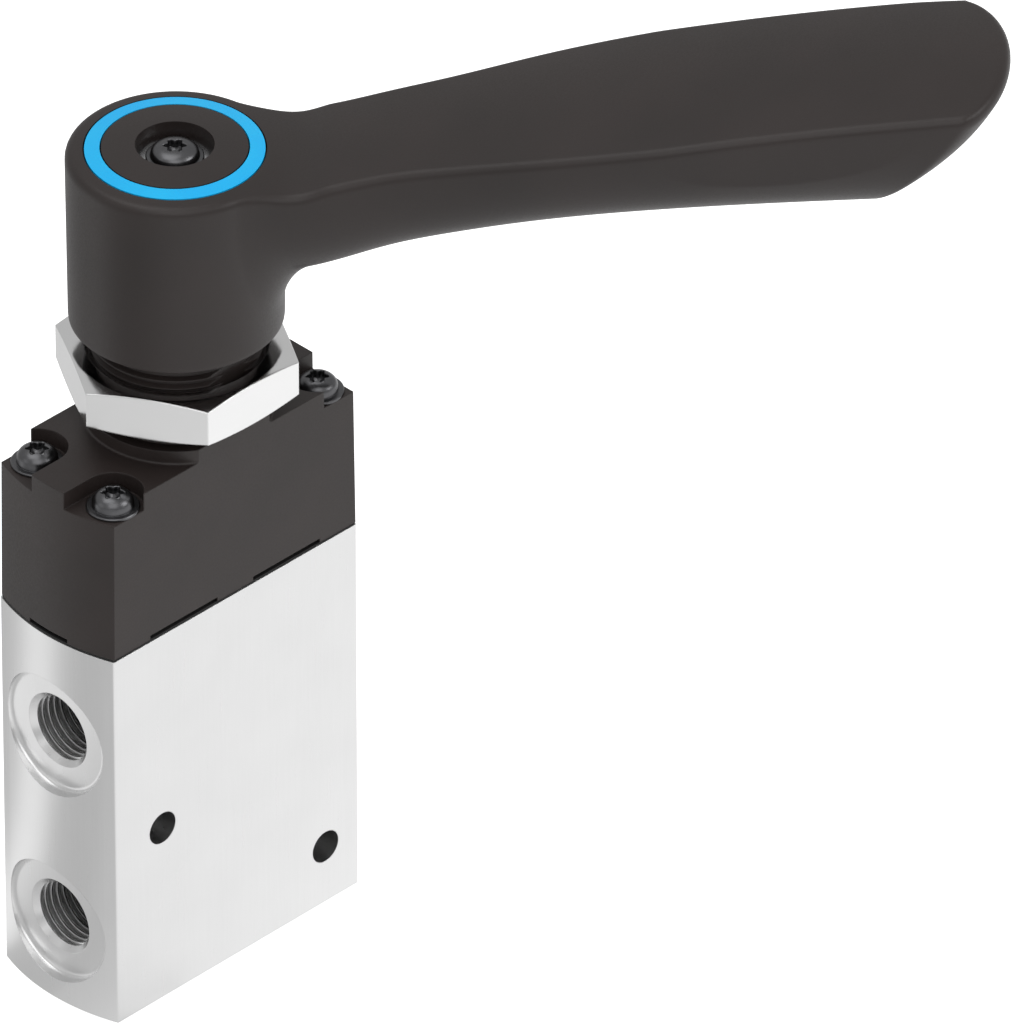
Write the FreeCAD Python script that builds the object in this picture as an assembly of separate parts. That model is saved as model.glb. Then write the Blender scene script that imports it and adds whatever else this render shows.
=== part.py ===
import FreeCAD, Part
import math
import os

from FreeCAD import Vector

# Hand lever air valve with two positions and three ports. All lengths are in millimetres.
# The origin is the centre of the body's flat bottom face. +Z runs up along the spindle, X is
# the body's long direction, with the single outlet port on its +X end, and Y is its width.

# Gaps between pieces
running_gap = 0.05
press_gap = 0.02
loose_gap = 0.1
screw_hole_gap = 0.3

# Aluminium body: the end with two ports bulges out, and the end with one port is flat
body_width = 26.2
body_chord = 54.6
body_end_sag = 2.35
body_edge_round = 0.45
body_bottom_chamfer = 0.3
bore_radius = 9.0
bore_floor = 3.0
bore_chamfer = 0.6

# Two holes straight through the body's width, for hanging the valve on a wall, placed from
# the ends and from the height of the outlet port
mount_hole_radius = 2.9
inlet_side_hole_inset = 10.35
inlet_side_hole_rise = 0.45
outlet_side_hole_inset = 7.55
outlet_side_hole_drop = 22.2

# Three ports with a G 1/4 pipe thread, one pitch apart in height
port_pitch = 18.5
inlet_port_z = 15.0
body_above_ports = 19.8
port_crest_radius = 5.72
port_profile_depth = 0.86
port_thread_pitch = 1.337
port_thread_depth = 12.0
port_chamfer = 0.95
port_spot_radius = 11.0
port_spot_round = 0.9
port_spot_step = 0.15
flat_end_spot_depth = 0.5
port_passage_radius = 3.5

# Screws that hold the cover down, at the corners of a rectangle
screw_end_distance = 4.45
screw_side_distance = 4.45
screw_shank_radius = 1.95
screw_length = 35.0
screw_point = 0.8
screw_flange_radius = 4.35
screw_flange_thickness = 0.5
screw_dome_radius = 3.45
screw_dome_height = 2.6
screw_flange_edge = 0.15
screw_turn = 15.0
screw_hole_extra_depth = 1.5
recess_core_radius = 1.42
recess_lobe_radius = 0.46
recess_lobe_circle = 1.48
recess_lobes = 6
recess_depth = 1.5

# Gasket under the cover
gasket_thickness = 0.35
gasket_inset = 0.25

# Plastic cover with its threaded neck
cover_height = 29.0
cover_inset = 0.15
cover_end_inset = 0.2
cover_end_draft = 0.35
cover_side_draft = 0.06
notch_depth = 3.2
notch_gap = 0.65
slot_near = 4.0
slot_end_distance = 8.25
slot_end_half = 4.3
slot_height = 0.8
slot_depth = 1.2
pocket_flange_wall = 1.3
pocket_screw_distance = 4.6
pocket_side_wall = 3.55
pocket_roof = 4.5
pocket_round = 1.6
collar_step = 1.1
collar_cove = 0.4
collar_height = 2.5
neck_crest_radius = 14.0
neck_profile_depth = 0.92
neck_thread_pitch = 1.5
neck_height = 18.0
neck_chamfer = 0.7
neck_edge = 0.2

# Panel nut on the neck
nut_flats = 35.0
nut_thickness = 7.8
nut_lift = 6.0
nut_chamfer_inset = 0.3
nut_chamfer_slope = 0.27
nut_mouth_chamfer = 0.9

# Spindle, which is turned by the lever
spindle_radius = 6.5
cup_radius = 8.0
cup_wall = 2.9
cup_mouth_height = 6.5
cup_depth = 14.5
square_corner_inset = 0.136
spindle_tap_depth = 15.5
seal_groove_lift = 3.0
seal_groove_height = 2.4
seal_groove_depth = 1.6

# Cross pin that the spindle's two sloping slots drive up and down
pin_radius = 1.5
pin_end_gap = 0.2
pin_rest_height = 16.0
stroke = 4.0
lever_turn = 90.0
pin_end_chamfer = 0.3

# Guide sleeve in the cover, whose upright slots keep the pin from turning
guide_wall = 1.9
guide_height = 23.0
guide_flange_reach = 2.0
guide_flange_height = 2.0

# Thrust ring above the spindle's cup and bronze bush in the neck
thrust_ring_reach = 0.9
thrust_ring_thickness = 0.8
thrust_gap = 0.15
neck_bore_gap = 0.4
bush_wall = 2.5
bush_lift = 3.6
bush_flange_reach = 2.0
bush_flange_thickness = 0.8

# Spool, with one waist that links the ports, and its rubber rings
seal_section = 2.8
spool_waist_depth = 2.2
spool_end_clearance = 0.5
spool_overlap = 2.0
spool_waist_taper = 1.0
spool_top_reach = 3.0
spool_vent_radius = 1.5
spool_vent_cross_radius = 1.1
spool_vent_cross_drop = 3.0
spool_end_chamfer = 0.6
seal_height = 2.8
bottom_seal_drop = 7.5

# Cages between the rubber rings
cage_bore_gap = 0.25
cage_relief_depth = 1.1
cage_relief_height = 7.4
cage_window_radius = 2.0
cage_windows = 6

# Lever hub
hub_lift = 1.0
hub_height = 32.8
hub_bottom_radius = 17.35
hub_flare = 0.22
crown_radius = 107.0
hub_rim_round = 1.6
hub_foot_round = 0.6
hub_core_wall = 2.25
insert_cover = 1.64
hub_core_depth = 24.0
counterbore_gap = 0.8
counterbore_depth = 3.6

# Lever arm: stations along it, each with its distance from the hub's side, its width, the rise
# of its top above the hub's crown and its thickness. The width of a station in the root is how
# far its half width falls short of the hub's radius, and elsewhere it is the half width.
arm_azimuth = -45.0
root_stations = [
    (-11.35, 3.75, -0.9, 18.4),
    (-5.35, 4.05, -1.0, 18.9),
    (0.65, 4.75, -1.05, 19.4),
]
arm_stations = [
    (8.15, 12.0, 0.5, 19.5),
    (16.65, 12.5, 2.7, 18.5),
    (25.65, 13.6, 4.6, 17.5),
    (40.65, 15.9, 7.8, 16.7),
    (57.65, 17.5, 11.2, 17.3),
    (74.65, 18.1, 14.05, 18.7),
    (91.65, 17.8, 16.3, 20.4),
    (106.65, 17.3, 17.6, 21.5),
    (120.65, 16.9, 18.1, 22.0),
]
arm_section_power = 3.3
arm_edge_round = 1.3
arm_root_round = 6.0
tip_reach = 132.4
tip_length = 8.5
tip_half_width = 17.6
tip_power = 2.0
tip_rise = 16.7

# How far the arm's end face is set back at each drop below the level of the tip
tip_setbacks = [(-10.0, -5.0), (-2.0, -1.0), (6.0, 3.8), (14.0, 12.3), (22.0, 26.0), (31.0, 48.0), (40.0, 70.0)]

# Coloured ring let into the hub's top
ring_rim_width = 3.16
ring_width = 2.44
ring_gap = 0.12
ring_depth = 1.3

# Metal insert moulded into the hub, and the screw and washer that hold the lever down
insert_wall = 1.065
insert_web = 2.6
lever_washer_radius = 5.55
lever_washer_thickness = 0.8
lever_screw_length = 16.0
lever_screw_flange_step = 0.85
lever_screw_dome_radius = 3.75
lever_screw_dome_height = 1.9

# Heights and places that follow from the sizes above
half_width = body_width / 2
half_chord = body_chord / 2
outlet_port_z = inlet_port_z + port_pitch
exhaust_port_z = outlet_port_z + port_pitch
body_height = exhaust_port_z + body_above_ports
inlet_side_hole_x = inlet_side_hole_inset - half_chord
inlet_side_hole_z = outlet_port_z + inlet_side_hole_rise
outlet_side_hole_x = half_chord - outlet_side_hole_inset
outlet_side_hole_z = outlet_port_z - outlet_side_hole_drop
screw_x = half_chord - screw_end_distance
screw_y = half_width - screw_side_distance
notch_radius = screw_flange_radius + notch_gap
slot_far = half_chord - slot_end_distance
port_root_radius = port_crest_radius + port_profile_depth
neck_root_radius = neck_crest_radius - neck_profile_depth
collar_radius = neck_crest_radius + collar_step
nut_chamfer_radius = nut_flats / 2 - nut_chamfer_inset
body_end_x = half_chord + body_end_sag
port_floor_x = half_chord + port_spot_step
flat_end_floor_x = half_chord - flat_end_spot_depth
cover_bottom_z = body_height + gasket_thickness
cover_top_z = cover_bottom_z + cover_height
notch_floor_z = cover_top_z - notch_depth
cover_half_chord = half_chord - cover_end_inset
cover_half_width = half_width - cover_inset
neck_flat = cover_half_width - cover_side_draft
neck_top_z = cover_top_z + neck_height
neck_thread_start_z = cover_top_z + collar_height
guide_top_z = cover_bottom_z + guide_height
cup_mouth_z = cover_bottom_z + cup_mouth_height
cup_floor_z = cup_mouth_z + cup_depth
cup_top_z = guide_top_z + thrust_gap
cover_shoulder_z = cup_top_z + running_gap + thrust_ring_thickness
seal_groove_z = cover_shoulder_z + seal_groove_lift
pin_rest_z = cover_bottom_z + pin_rest_height
nut_bottom = cover_top_z + nut_lift
bush_bottom_z = cover_top_z + bush_lift
hub_bottom_z = neck_top_z + hub_lift
hub_crown_z = hub_bottom_z + hub_height
counterbore_floor_z = hub_crown_z - counterbore_depth
square_top_z = counterbore_floor_z - insert_web - loose_gap
tip_level_z = hub_crown_z + tip_rise
tip_start = tip_reach - tip_length
spool_bottom_z = bore_floor + stroke + spool_end_clearance
spool_land_top_z = cover_bottom_z
spool_vent_cross_z = spool_land_top_z - spool_vent_cross_drop
cup_bore_radius = cup_radius - cup_wall
guide_outer_radius = cup_radius + loose_gap + guide_wall
guide_flange_radius = guide_outer_radius + guide_flange_reach
pin_reach = guide_outer_radius - pin_end_gap
pocket_near = guide_flange_radius + loose_gap + pocket_flange_wall
pocket_far = screw_x - pocket_screw_distance
pocket_half_width = cover_half_width - pocket_side_wall
thrust_ring_outer = cup_radius + thrust_ring_reach
neck_bore_radius = spindle_radius + neck_bore_gap
bush_outer_radius = spindle_radius + bush_wall
bush_flange_radius = bush_outer_radius + bush_flange_reach
spool_radius = bore_radius - seal_section
spool_waist_radius = spool_radius - spool_waist_depth
spool_neck_radius = cup_bore_radius - loose_gap
cage_relief_radius = bore_radius - cage_relief_depth
square_flats = (spindle_radius - square_corner_inset) * math.sqrt(2)
square_socket = square_flats + 2 * running_gap
insert_flats = square_socket * math.sqrt(2) + 2 * insert_wall
hub_core_inner = insert_flats / math.sqrt(3) + insert_cover
hub_core_outer = hub_bottom_radius - hub_core_wall
counterbore_radius = lever_washer_radius + counterbore_gap
lever_screw_flange_radius = lever_washer_radius - lever_screw_flange_step
hub_top_radius = hub_bottom_radius + hub_flare
ring_outer_radius = hub_top_radius - ring_rim_width
ring_inner_radius = ring_outer_radius - ring_width
insert_bottom_z = neck_top_z + bush_flange_thickness + loose_gap
seal_middles = [
    inlet_port_z - bottom_seal_drop,
    outlet_port_z - port_pitch / 2,
    outlet_port_z + port_pitch / 2,
    outlet_port_z + 3 * port_pitch / 2,
]
pin_drop_per_radian = stroke / math.radians(lever_turn)

up = Vector(0, 0, 1)
origin = Vector(0, 0, 0)


def cylinder(radius, bottom, top, x=0.0, y=0.0):
    return Part.makeCylinder(radius, top - bottom, Vector(x, y, bottom), up)


def tube(outer, inner, bottom, top):
    return cylinder(outer, bottom, top).cut(cylinder(inner, bottom - 1, top + 1))


def block(x_low, x_high, y_low, y_high, z_low, z_high):
    corner = Vector(x_low, y_low, z_low)
    return Part.makeBox(x_high - x_low, y_high - y_low, z_high - z_low, corner)


def solid_of(shape):
    return max(shape.Solids, key=lambda solid: solid.Volume)


def join(shapes):
    whole = shapes[0]
    for shape in shapes[1:]:
        whole = whole.fuse(shape)
    return solid_of(whole.removeSplitter())


def cut_all(shape, tools):
    for tool in tools:
        shape = shape.cut(tool)
    return solid_of(shape)


def turned(points):
    # A closed outline of (radius, height) points, turned once round the Z axis.
    corners = [Vector(radius, 0, height) for radius, height in points]
    outline = Part.makePolygon(corners + corners[:1])
    return Part.Face(outline).revolve(origin, up, 360)


def along_x(shape, sign, x, z):
    # Lays a shape that points up the Z axis along +X or -X, with its base at x and z.
    laid = shape.copy()
    laid.rotate(origin, Vector(0, 1, 0), 90 * sign)
    laid.translate(Vector(sign * x, 0, z))
    return laid


def horizontal_edges(shape, height, radius):
    # The round edges of one radius that lie flat at one height.
    found = []
    for edge in shape.Edges:
        box = edge.BoundBox
        flat = abs(box.ZMin - height) < 1e-6 and abs(box.ZMax - height) < 1e-6
        if flat and abs(box.XMax - radius) < 1e-6:
            found.append(edge)
    return found


def upright_edges(shape):
    return [edge for edge in shape.Edges if edge.BoundBox.XLength + edge.BoundBox.YLength < 1e-6]


def thread_points(crest, root, pitch, bottom, top):
    # The saw-tooth side of a thread, from bottom to top, as rings of one pitch.
    points = [(root, bottom)]
    for turn in range(int((top - bottom) / pitch)):
        start = bottom + turn * pitch
        points += [
            (root, start + pitch * 0.125),
            (crest, start + pitch * 0.43),
            (crest, start + pitch * 0.57),
            (root, start + pitch * 0.875),
        ]
    return points + [(root, top)]


def end_rounded_face(chord_half, width_half, sag, height):
    # The plan of the body: two straight sides, a flat +X end and a -X end that bulges outwards.
    corners = [
        Vector(chord_half, -width_half, height),
        Vector(chord_half, width_half, height),
        Vector(-chord_half, width_half, height),
        Vector(-chord_half, -width_half, height),
    ]
    edges = [
        Part.makeLine(corners[0], corners[1]),
        Part.makeLine(corners[1], corners[2]),
        Part.Arc(corners[2], Vector(-chord_half - sag, 0, height), corners[3]).toShape(),
        Part.makeLine(corners[3], corners[0]),
    ]
    return Part.Face(Part.Wire(edges))


def screw_places():
    return [(sx * screw_x, sy * screw_y) for sx in (-1, 1) for sy in (-1, 1)]


def star_recess(top, depth):
    core = cylinder(recess_core_radius, top - depth, top + 1)
    lobes = []
    for number in range(recess_lobes):
        angle = 2 * math.pi * number / recess_lobes
        x = recess_lobe_circle * math.cos(angle)
        y = recess_lobe_circle * math.sin(angle)
        lobes.append(cylinder(recess_lobe_radius, top - depth, top + 1, x, y))
    return join([core] + lobes)


def round_head_screw(flange_radius, dome_radius, dome_height, shank_radius, length):
    # A flanged round head with a star recess. It stands on z = 0 and its shank points down.
    ball = (dome_radius ** 2 + dome_height ** 2) / (2 * dome_height)
    dome_low = screw_flange_thickness
    dome = Part.makeSphere(ball, Vector(0, 0, dome_low + dome_height - ball))
    dome = dome.common(cylinder(dome_radius + 1, dome_low, dome_low + dome_height))
    flange = cylinder(flange_radius, 0, dome_low)
    flange = flange.makeChamfer(screw_flange_edge, horizontal_edges(flange, dome_low, flange_radius))
    shank = cylinder(shank_radius, -length, 0)
    shank = shank.makeChamfer(screw_point, horizontal_edges(shank, -length, shank_radius))
    screw = join([flange, dome, shank])
    return cut_all(screw, [star_recess(dome_low + dome_height, recess_depth)])


def port_cutter():
    # Points up from the port's floor at z = 0: the thread, its chamfer and the passage go
    # below the floor, and the spot face stands above it.
    depth = port_thread_depth
    turns = int((depth - port_chamfer) / port_thread_pitch)
    thread_low = -port_chamfer - turns * port_thread_pitch
    side = thread_points(port_root_radius, port_crest_radius, port_thread_pitch, thread_low, -port_chamfer)
    thread = turned([(0, -depth), (port_crest_radius, -depth)] + side
                    + [(port_crest_radius + port_chamfer, 0), (0, 0)])
    spot = cylinder(port_spot_radius, 0, body_end_sag + 2)
    spot = spot.makeFillet(port_spot_round, horizontal_edges(spot, 0, port_spot_radius))
    passage = cylinder(port_passage_radius, -(port_floor_x - bore_radius + 1), 0)
    return thread, spot, passage


def valve_body():
    plan = end_rounded_face(half_chord, half_width, body_end_sag, 0)
    body = plan.extrude(Vector(0, 0, body_height))
    body = body.makeFillet(body_edge_round, upright_edges(body))
    lowest = [edge for edge in body.Edges if edge.BoundBox.ZMax < 1e-6]
    body = body.makeChamfer(body_bottom_chamfer, lowest)
    cutters = [cylinder(bore_radius, bore_floor, body_height + 1)]
    cutters.append(Part.makeCone(bore_radius, bore_radius + 2 * bore_chamfer, 2 * bore_chamfer,
                                 Vector(0, 0, body_height - bore_chamfer), up))
    places = ((-1, port_floor_x, inlet_port_z), (-1, port_floor_x, exhaust_port_z),
              (1, flat_end_floor_x, outlet_port_z))
    for sign, floor_x, height in places:
        for tool in port_cutter():
            cutters.append(along_x(tool, sign, floor_x, height))
    for x, z in ((inlet_side_hole_x, inlet_side_hole_z), (outlet_side_hole_x, outlet_side_hole_z)):
        start = Vector(x, -half_width - 1, z)
        cutters.append(Part.makeCylinder(mount_hole_radius, body_width + 2, start, Vector(0, 1, 0)))
    screw_tip_z = notch_floor_z - screw_length
    for x, y in screw_places():
        radius = screw_shank_radius + running_gap
        cutters.append(cylinder(radius, screw_tip_z - screw_hole_extra_depth, body_height + 1, x, y))
    return cut_all(body, cutters)


def cover_gasket():
    plan = end_rounded_face(half_chord - gasket_inset, half_width - gasket_inset, body_end_sag, body_height)
    gasket = plan.extrude(Vector(0, 0, gasket_thickness))
    cutters = [cylinder(guide_outer_radius, body_height - 1, cover_bottom_z + 1)]
    for x, y in screw_places():
        radius = screw_shank_radius + screw_hole_gap
        cutters.append(cylinder(radius, body_height - 1, cover_bottom_z + 1, x, y))
    return cut_all(gasket, cutters)


def cover_shell():
    low = end_rounded_face(cover_half_chord, cover_half_width, body_end_sag, cover_bottom_z)
    high = end_rounded_face(cover_half_chord - cover_end_draft, neck_flat, body_end_sag, cover_top_z)
    return Part.makeLoft([low.OuterWire, high.OuterWire], True, True)


def cover_neck():
    # Collar with its cove, then the thread, cut flat on both sides to the cover's width.
    steps = 8
    cove = []
    for step in range(steps + 1):
        angle = math.pi / 2 * step / steps
        radius = collar_radius + collar_cove * (1 - math.sin(angle))
        cove.append((radius, cover_top_z + collar_cove * (1 - math.cos(angle))))
    turns = int((neck_height - collar_height - neck_chamfer) / neck_thread_pitch)
    thread_top = neck_thread_start_z + turns * neck_thread_pitch
    side = thread_points(neck_crest_radius, neck_root_radius, neck_thread_pitch,
                         neck_thread_start_z, thread_top)
    points = [(0, cover_top_z - 1), (collar_radius + collar_cove, cover_top_z - 1)] + cove
    points += [(collar_radius, neck_thread_start_z)] + side
    points += [(neck_root_radius, neck_top_z - neck_edge), (neck_root_radius - neck_edge, neck_top_z)]
    points.append((0, neck_top_z))
    reach = collar_radius + collar_cove
    slab = block(-reach, reach, -neck_flat, neck_flat, cover_top_z - 1, neck_top_z + 1)
    return turned(points).common(slab)


def guide_plan(radius, flat, bottom, top):
    disc = cylinder(radius, bottom, top)
    return disc.common(block(-radius, radius, -flat, flat, bottom, top))


def cover():
    shell = join([cover_shell(), cover_neck()])
    cutters = []
    for x, y in screw_places():
        cutters.append(cylinder(notch_radius, notch_floor_z, cover_top_z + 1, x, y))
        far_x = math.copysign(body_end_x + 2, x)
        wall_y = y - math.copysign(notch_radius, y)
        far_y = math.copysign(half_width + 2, y)
        cutters.append(block(min(x, far_x), max(x, far_x), min(wall_y, far_y), max(wall_y, far_y),
                             notch_floor_z, cover_top_z + 1))
        radius = screw_shank_radius + screw_hole_gap
        cutters.append(cylinder(radius, cover_bottom_z - 1, cover_top_z, x, y))
    for side in (-1, 1):
        pocket = block(pocket_near, pocket_far, -pocket_half_width, pocket_half_width,
                       cover_bottom_z - 1, cover_top_z - pocket_roof)
        pocket = pocket.makeFillet(pocket_round, upright_edges(pocket))
        if side < 0:
            pocket.rotate(origin, up, 180)
        cutters.append(pocket)
        for end in (-1, 1):
            near, far = sorted((end * slot_near, end * slot_far))
            low_y, high_y = sorted((side * (cover_half_width - slot_depth), side * half_width))
            cutters.append(block(near, far, low_y, high_y, cover_bottom_z - 1, cover_bottom_z + slot_height))
        end_x = half_chord if side > 0 else body_end_x
        low_x, high_x = sorted((side * (end_x - slot_depth - cover_end_inset), side * (end_x + 1)))
        cutters.append(block(low_x, high_x, -slot_end_half, slot_end_half,
                             cover_bottom_z - 1, cover_bottom_z + slot_height))
    cutters.append(guide_plan(guide_flange_radius + loose_gap, guide_outer_radius + loose_gap,
                              cover_bottom_z - 1, cover_bottom_z + guide_flange_height + loose_gap))
    cutters.append(cylinder(guide_outer_radius + running_gap, cover_bottom_z - 1, guide_top_z + running_gap))
    cutters.append(cylinder(thrust_ring_outer + loose_gap, guide_top_z, cover_shoulder_z))
    cutters.append(cylinder(neck_bore_radius, cover_shoulder_z - 1, neck_top_z + 1))
    cutters.append(cylinder(bush_outer_radius, bush_bottom_z, neck_top_z + 1))
    return cut_all(shell, cutters)


def cover_screws():
    screws = []
    for x, y in screw_places():
        screw = round_head_screw(screw_flange_radius, screw_dome_radius, screw_dome_height,
                                 screw_shank_radius, screw_length)
        screw.rotate(origin, up, screw_turn)
        screw.translate(Vector(x, y, notch_floor_z))
        screws.append(screw)
    return Part.makeCompound(screws)


def hexagon(flats, bottom, top):
    corner = flats / 2 / math.cos(math.pi / 6)
    points = []
    for number in range(7):
        angle = math.pi / 3 * number
        points.append(Vector(corner * math.cos(angle), corner * math.sin(angle), bottom))
    return Part.Face(Part.makePolygon(points)).extrude(Vector(0, 0, top - bottom))


def panel_nut():
    top = nut_bottom + nut_thickness
    reach = nut_flats
    drop = (reach - nut_chamfer_radius) * nut_chamfer_slope
    envelope = turned([(0, nut_bottom), (nut_chamfer_radius, nut_bottom), (reach, nut_bottom + drop),
                       (reach, top - drop), (nut_chamfer_radius, top), (0, top)])
    nut = hexagon(nut_flats, nut_bottom, top).common(envelope)
    gap = 2 * running_gap
    turns = int(nut_thickness / neck_thread_pitch) + 2
    first = math.floor((nut_bottom - neck_thread_start_z) / neck_thread_pitch) - 1
    low = neck_thread_start_z + first * neck_thread_pitch
    side = thread_points(neck_crest_radius + gap, neck_root_radius + gap, neck_thread_pitch,
                         low, low + turns * neck_thread_pitch + neck_thread_pitch)
    bore = turned([(0, side[0][1])] + side + [(0, side[-1][1])])
    mouth = neck_crest_radius + nut_mouth_chamfer
    cones = [
        Part.makeCone(mouth, neck_root_radius, mouth - neck_root_radius, Vector(0, 0, nut_bottom), up),
        Part.makeCone(neck_root_radius, mouth, mouth - neck_root_radius,
                      Vector(0, 0, top - mouth + neck_root_radius), up),
    ]
    return cut_all(nut, [bore] + cones)


def seal(number):
    # Rubber ring between the bore and the spool, at one of the four seal heights.
    inner = spool_radius + running_gap
    outer = bore_radius - press_gap
    section = (outer - inner) / 2
    return Part.makeTorus(inner + section, section, Vector(0, 0, seal_middles[number]), up)


def cage(number):
    # Ring between two seals: slotted all round, so that air passes between bore and spool.
    bottom = seal_middles[number] + seal_height / 2
    top = seal_middles[number + 1] - seal_height / 2
    port_z = outlet_port_z + (number - 1) * port_pitch
    ring = tube(bore_radius - running_gap, spool_radius + cage_bore_gap, bottom, top)
    relief = tube(bore_radius + 1, cage_relief_radius, port_z - cage_relief_height / 2,
                  port_z + cage_relief_height / 2)
    cutters = [relief]
    for window in range(cage_windows):
        hole = Part.makeCylinder(cage_window_radius, bore_radius + 1, Vector(0, 0, port_z), Vector(1, 0, 0))
        hole.rotate(Vector(0, 0, port_z), up, 360 * window / cage_windows)
        cutters.append(hole)
    return cut_all(ring, cutters)


def bottom_spacer():
    inner = spool_radius + cage_bore_gap
    return tube(bore_radius - running_gap, inner, bore_floor, seal_middles[0] - seal_height / 2)


def spool_guide():
    # Bearing ring on top of the seals, held down by the cover's guide sleeve.
    inner = spool_radius + running_gap
    return tube(bore_radius - running_gap, inner, seal_middles[3] + seal_height / 2, cover_bottom_z)


def spool():
    low_edge = seal_middles[1] + spool_overlap
    high_edge = seal_middles[2] + spool_overlap
    top = pin_rest_z + spool_top_reach
    chamfer = spool_end_chamfer
    body = turned([
        (0, spool_bottom_z), (spool_radius - chamfer, spool_bottom_z),
        (spool_radius, spool_bottom_z + chamfer), (spool_radius, low_edge),
        (spool_waist_radius, low_edge + spool_waist_taper),
        (spool_waist_radius, high_edge - spool_waist_taper), (spool_radius, high_edge),
        (spool_radius, spool_land_top_z - chamfer), (spool_radius - chamfer, spool_land_top_z),
        (spool_neck_radius, spool_land_top_z), (spool_neck_radius, top - chamfer),
        (spool_neck_radius - chamfer, top), (0, top),
    ])
    cross = Part.makeCylinder(spool_vent_cross_radius, 2 * spool_radius + 2,
                              Vector(-spool_radius - 1, 0, spool_vent_cross_z), Vector(1, 0, 0))
    pin_hole = Part.makeCylinder(pin_radius + press_gap, 2 * spool_radius + 2,
                                 Vector(-spool_radius - 1, 0, pin_rest_z), Vector(1, 0, 0))
    vent = cylinder(spool_vent_radius, spool_bottom_z - 1, spool_vent_cross_z)
    return cut_all(body, [vent, cross, pin_hole])


def cross_pin():
    pin = cylinder(pin_radius, -pin_reach, pin_reach)
    ends = horizontal_edges(pin, -pin_reach, pin_radius) + horizontal_edges(pin, pin_reach, pin_radius)
    pin = pin.makeChamfer(pin_end_chamfer, ends)
    pin.rotate(origin, Vector(0, 1, 0), 90)
    pin.translate(Vector(0, 0, pin_rest_z))
    return solid_of(pin)


def guide_sleeve():
    bottom = cover_bottom_z
    sleeve = join([
        cylinder(guide_outer_radius, bottom, guide_top_z),
        guide_plan(guide_flange_radius, guide_outer_radius, bottom, bottom + guide_flange_height),
    ])
    bore = cylinder(cup_radius + loose_gap, bottom - 1, guide_top_z + 1)
    half_slot = pin_radius + loose_gap
    far = guide_flange_radius + 1
    slot = block(-far, far, -half_slot, half_slot, bottom - 1, pin_rest_z)
    slot_end = Part.makeCylinder(half_slot, 2 * far, Vector(-far, 0, pin_rest_z), Vector(1, 0, 0))
    return cut_all(sleeve, [bore, slot, slot_end])


def helical_slot(start_angle):
    # Sloping slot through the cup's wall. It rises with the angle round the spindle, so that
    # the pin, which cannot turn, is driven down as the lever turns by its full angle.
    run_out = math.degrees(math.asin((pin_radius + loose_gap) / cup_bore_radius))
    half_height = pin_radius * 1.1 + loose_gap
    lead = 2 * math.pi * pin_drop_per_radian
    span = lever_turn + 2 * run_out
    inner = cup_bore_radius - 1
    outer = cup_radius + 1
    low_z = pin_rest_z - stroke - pin_drop_per_radian * math.radians(run_out)
    helix = Part.makeHelix(lead, lead * span / 360, (inner + outer) / 2)
    helix.translate(Vector(0, 0, low_z))
    profile = Part.makePolygon([
        Vector(inner, 0, low_z - half_height), Vector(outer, 0, low_z - half_height),
        Vector(outer, 0, low_z + half_height), Vector(inner, 0, low_z + half_height),
        Vector(inner, 0, low_z - half_height),
    ])
    slot = Part.Wire(helix).makePipeShell([profile], True, True)
    slot.rotate(origin, up, start_angle - lever_turn - run_out)
    return slot


def spindle():
    top_of_journal = insert_bottom_z - running_gap
    groove_root = spindle_radius - seal_groove_depth
    groove_top = seal_groove_z + seal_groove_height
    body = turned([
        (0, cup_mouth_z), (cup_radius, cup_mouth_z), (cup_radius, cup_top_z),
        (spindle_radius, cup_top_z), (spindle_radius, seal_groove_z),
        (groove_root, seal_groove_z), (groove_root, groove_top),
        (spindle_radius, groove_top), (spindle_radius, top_of_journal), (0, top_of_journal),
    ])
    half = square_flats / 2
    square = block(-half, half, -half, half, top_of_journal, square_top_z)
    square.rotate(origin, up, arm_azimuth)
    body = join([body, square])
    cutters = [
        cylinder(cup_bore_radius, cup_mouth_z - 1, cup_floor_z),
        cylinder(screw_shank_radius + running_gap, square_top_z - spindle_tap_depth, square_top_z + 1),
        helical_slot(0),
        helical_slot(180),
    ]
    return cut_all(body, cutters)


def spindle_seal():
    inner = spindle_radius - seal_groove_depth
    outer = neck_bore_radius - running_gap
    section = (outer - inner) / 2
    return Part.makeTorus(inner + section, section,
                          Vector(0, 0, seal_groove_z + seal_groove_height / 2), up)


def thrust_ring():
    bottom = cover_shoulder_z - thrust_ring_thickness
    return tube(thrust_ring_outer, spindle_radius + running_gap, bottom, cover_shoulder_z)


def spindle_bush():
    sleeve = cylinder(bush_outer_radius - press_gap, bush_bottom_z, neck_top_z + bush_flange_thickness)
    flange = cylinder(bush_flange_radius, neck_top_z, neck_top_z + bush_flange_thickness)
    bore = cylinder(spindle_radius + running_gap, bush_bottom_z - 1, hub_bottom_z)
    return cut_all(join([sleeve, flange]), [bore])


def dome_ball():
    return Part.makeSphere(crown_radius, Vector(0, 0, hub_crown_z - crown_radius))


def lever_hub():
    top = hub_crown_z + 1
    cone = Part.makeCone(hub_bottom_radius, hub_top_radius, top - hub_bottom_z,
                         Vector(0, 0, hub_bottom_z), up)
    hub = cone.common(dome_ball())
    flat = [edge for edge in hub.Edges if edge.BoundBox.ZLength < 1e-6]
    high = [edge for edge in flat if edge.BoundBox.ZMin > hub_bottom_z + 1]
    hub = hub.makeFillet(hub_rim_round, high)
    low = [edge for edge in hub.Edges if edge.BoundBox.ZMax < hub_bottom_z + 1e-6]
    return hub.makeFillet(hub_foot_round, low)


def rounded_corner(angle, power):
    # A point of the unit curve between a circle and a square, at one angle round it.
    across = math.cos(angle)
    along = math.sin(angle)
    scale = (abs(across) ** power + abs(along) ** power) ** (-1 / power)
    return scale * across, scale * along


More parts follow.
